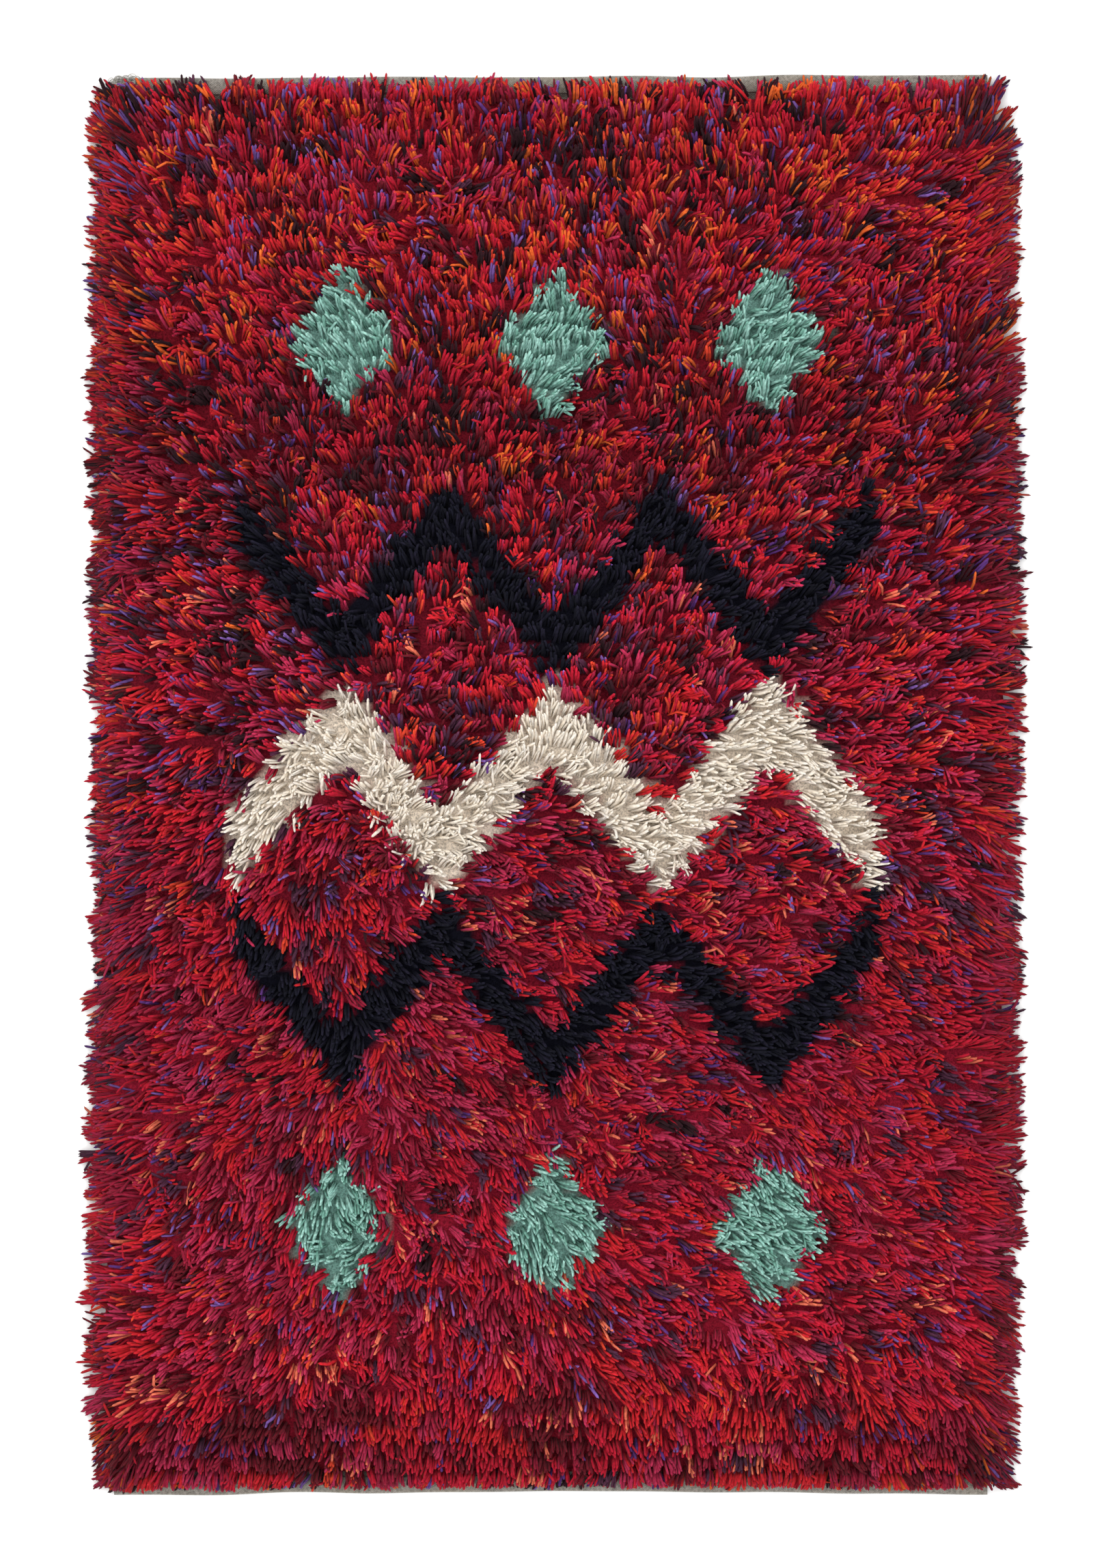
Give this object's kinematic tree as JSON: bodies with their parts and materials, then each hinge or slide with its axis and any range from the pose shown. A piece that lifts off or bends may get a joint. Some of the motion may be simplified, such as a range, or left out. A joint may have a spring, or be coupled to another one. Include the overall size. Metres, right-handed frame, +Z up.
{
  "type": "rya rug",
  "caption": "Rectangular shag rug lying flat: a woven ground cloth with a turned hem at each end, under a long knotted wool pile.",
  "frame": {"origin": "on the floor under the middle of the whole rug", "axes": "+Z up from the floor, +Y along the rug towards its head end, +X to the right"},
  "size_m": [0.9002, 1.3528, 0.0317],
  "materials": {
    "woven_ground": "grey-brown wool and linen cloth, firmly woven, matt",
    "rug_wool": "twisted 2-ply rug wool in mottled reds and violets, matt with a soft sheen"
  },
  "bodies": {
    "root": {"ground_cloth": "woven_ground", "pile": "rug_wool"}
  },
  "joints": []
}
